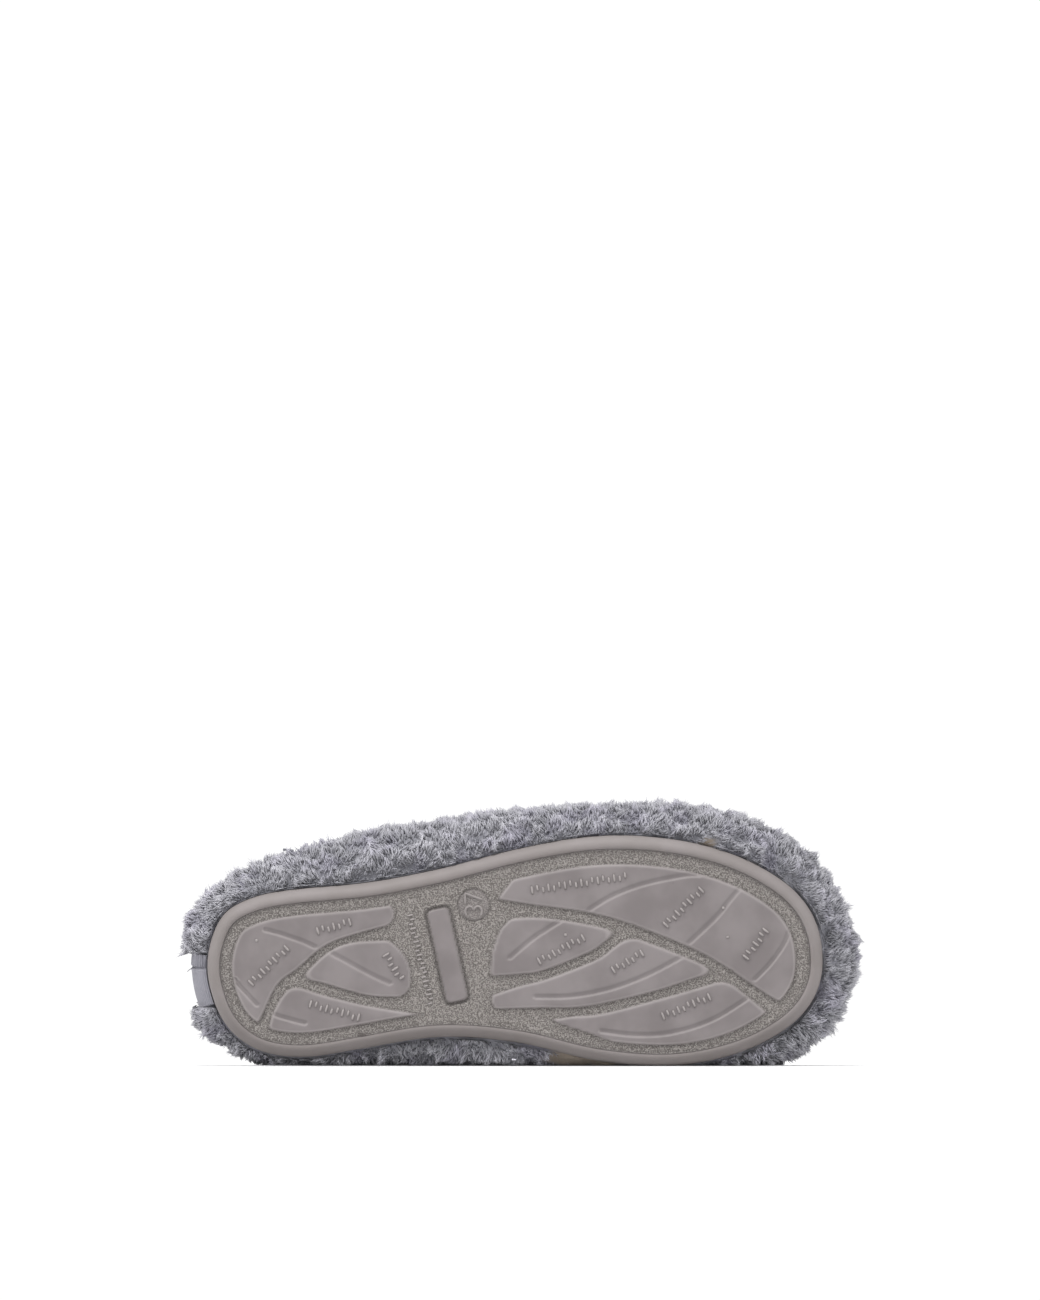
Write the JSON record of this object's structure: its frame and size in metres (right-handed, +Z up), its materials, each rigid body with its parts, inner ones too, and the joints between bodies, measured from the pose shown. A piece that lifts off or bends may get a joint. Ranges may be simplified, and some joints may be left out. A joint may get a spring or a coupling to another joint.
{
  "type": "scuff slipper",
  "caption": "Right-foot scuff slipper in grey long-pile fleece on a taupe moulded rubber sole, lying on its inner side with the tread facing the viewer.",
  "frame": {"origin": "on the floor under the middle of the slipper's bounding box", "axes": "+X from heel to toe, +Y from the tread to the instep, +Z up, towards the outer side of the foot, as the slipper lies on its inner side"},
  "size_m": [0.2754, 0.0896, 0.1067],
  "materials": {
    "sole_rubber": "matte moulded taupe grey rubber",
    "pile_fleece": "curly long-pile fleece, blue grey",
    "footbed_plush": "short plush, blue grey",
    "binding": "knitted edge piping, dark grey",
    "tab_weave": "fine ribbed weave, blue grey"
  },
  "bodies": {
    "root": {"outsole": "sole_rubber", "upper": "pile_fleece", "insole": "footbed_plush", "collar_binding": "binding", "heel_tab": "tab_weave"}
  },
  "joints": []
}
